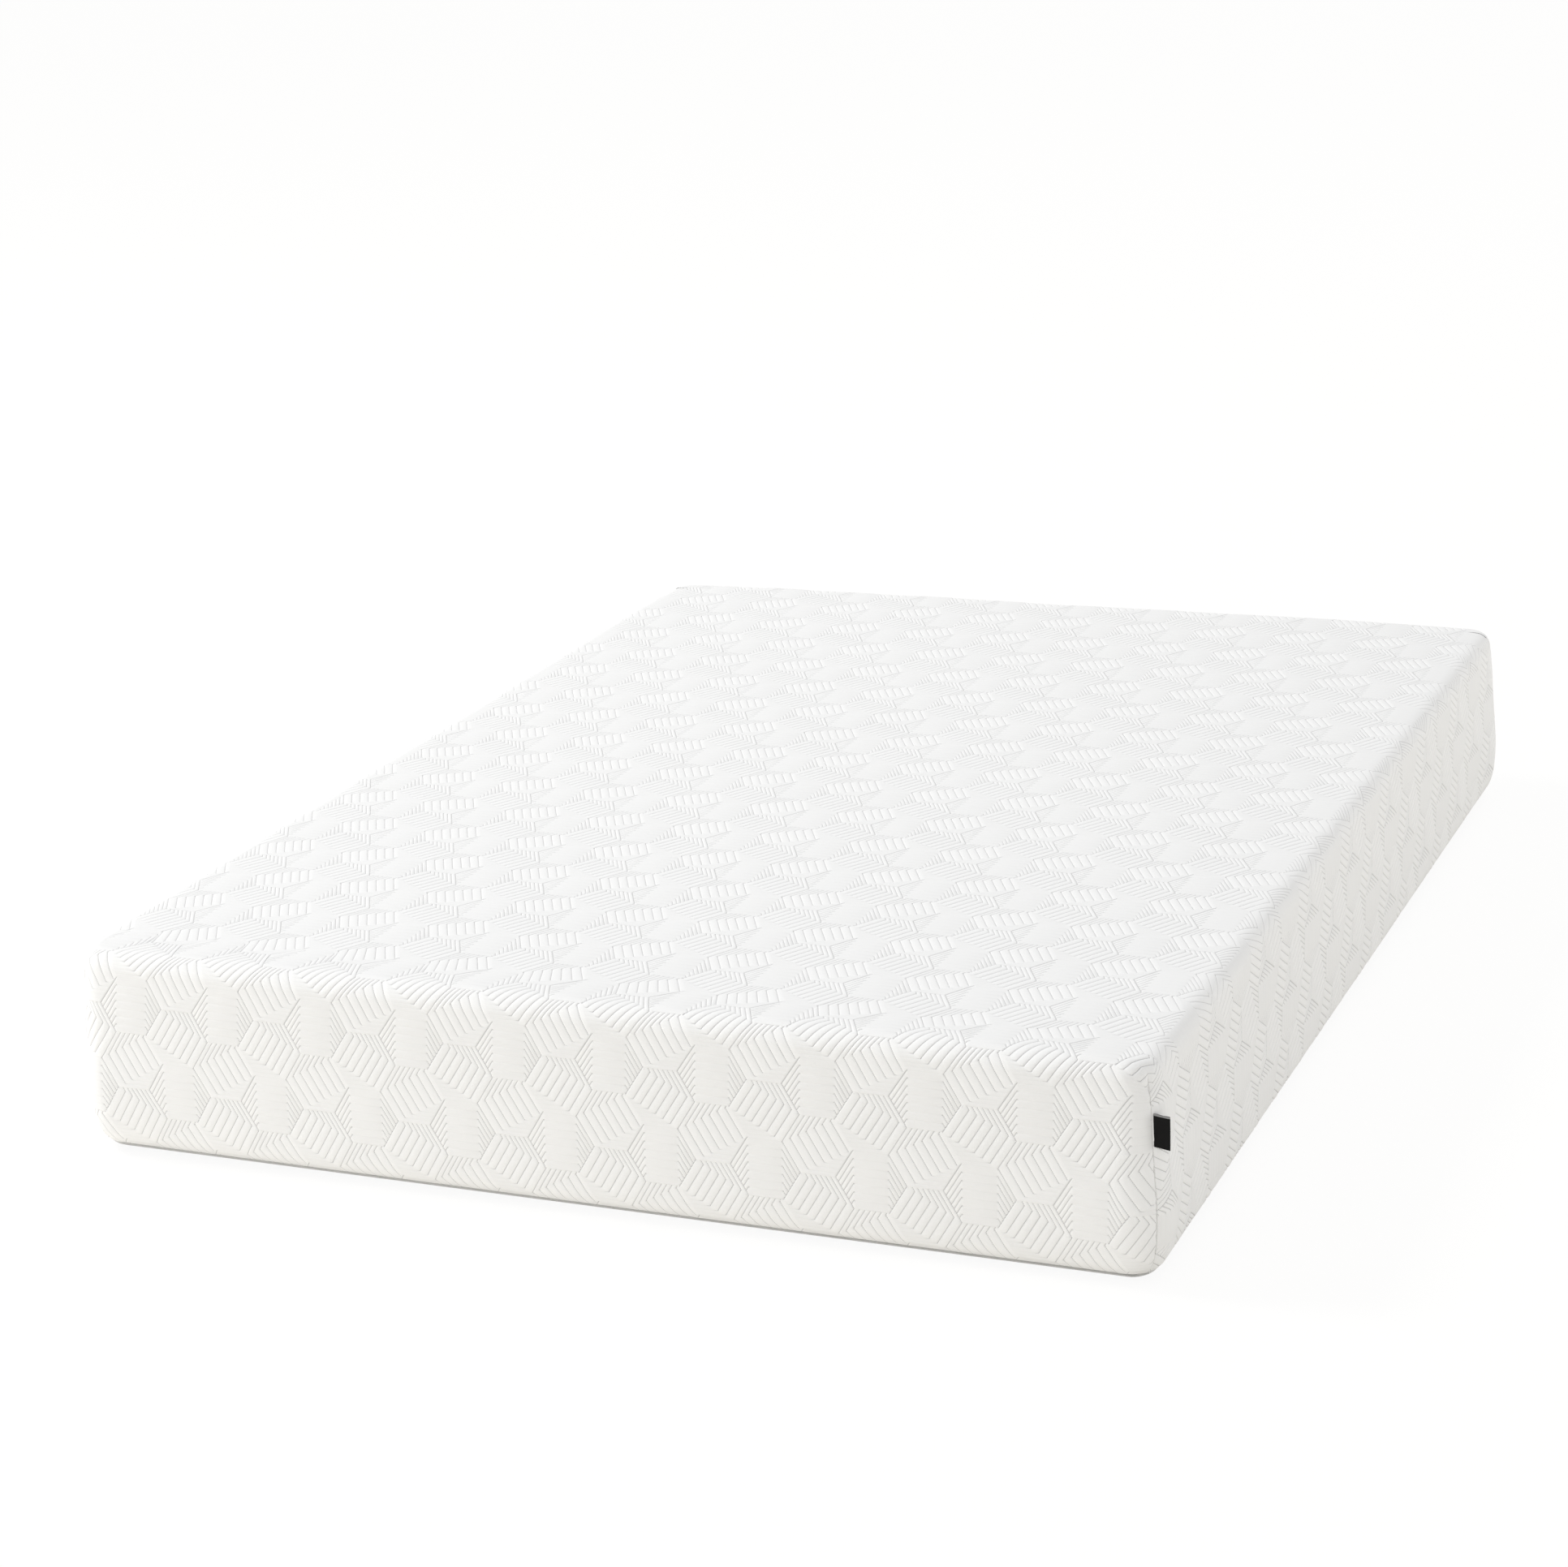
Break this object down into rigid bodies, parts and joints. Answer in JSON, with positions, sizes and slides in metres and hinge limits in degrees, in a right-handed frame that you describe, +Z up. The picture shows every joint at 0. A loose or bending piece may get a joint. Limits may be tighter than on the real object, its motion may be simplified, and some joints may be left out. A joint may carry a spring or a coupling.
{
  "type": "memory foam mattress",
  "caption": "Queen memory foam mattress with rounded edges, a white hexagon-rib knitted cover, a small black corner label and a cover zip hidden round the bottom edge.",
  "frame": {"origin": "centre of the footprint, on the surface that the mattress lies on", "axes": "+Z up through the thickness, +Y from the foot to the head, +X across the bed towards the side whose foot corner carries the label"},
  "size_m": [1.5367, 2.032, 0.295],
  "materials": {
    "support_foam": "matte",
    "transition_foam": "matte",
    "memory_foam": "matte",
    "fire_sock": "matte",
    "knit": "matte",
    "thread": "matte",
    "label_ribbon": "satin",
    "base_cloth": "matte",
    "zip_tape": "matte",
    "zip_coil": "satin",
    "zip_metal": "satin"
  },
  "bodies": {
    "mattress": {"support_foam": "support_foam", "transition_foam": "transition_foam", "memory_foam": "memory_foam", "fire_sock": "fire_sock", "knit_cover": "knit", "corner_threads": "thread", "label_tab": "label_ribbon", "base_panel": "base_cloth", "knit_zip_tape": "zip_tape", "base_zip_tape": "zip_tape", "knit_zip_coil": "zip_coil", "base_zip_coil": "zip_coil", "zip_top_stops": "zip_metal", "zip_bottom_stop": "zip_metal"},
    "slider": {"zip_slider": "zip_metal"},
    "pull": {"zip_pull": "zip_metal"}
  },
  "joints": [
    {"name": "zip_run", "type": "slide", "parent": "mattress", "child": "slider", "axis": [1, 0, 0], "range_m": [0, 1.32], "deforming": ["knit_zip_coil", "base_zip_coil"]},
    {"name": "pull_swing", "type": "hinge", "parent": "slider", "child": "pull", "pos_m": [-0.6515, 1.00244, 0.00616], "axis": [0, 0.788, 0.6157], "range_deg": [0, 170]}
  ]
}
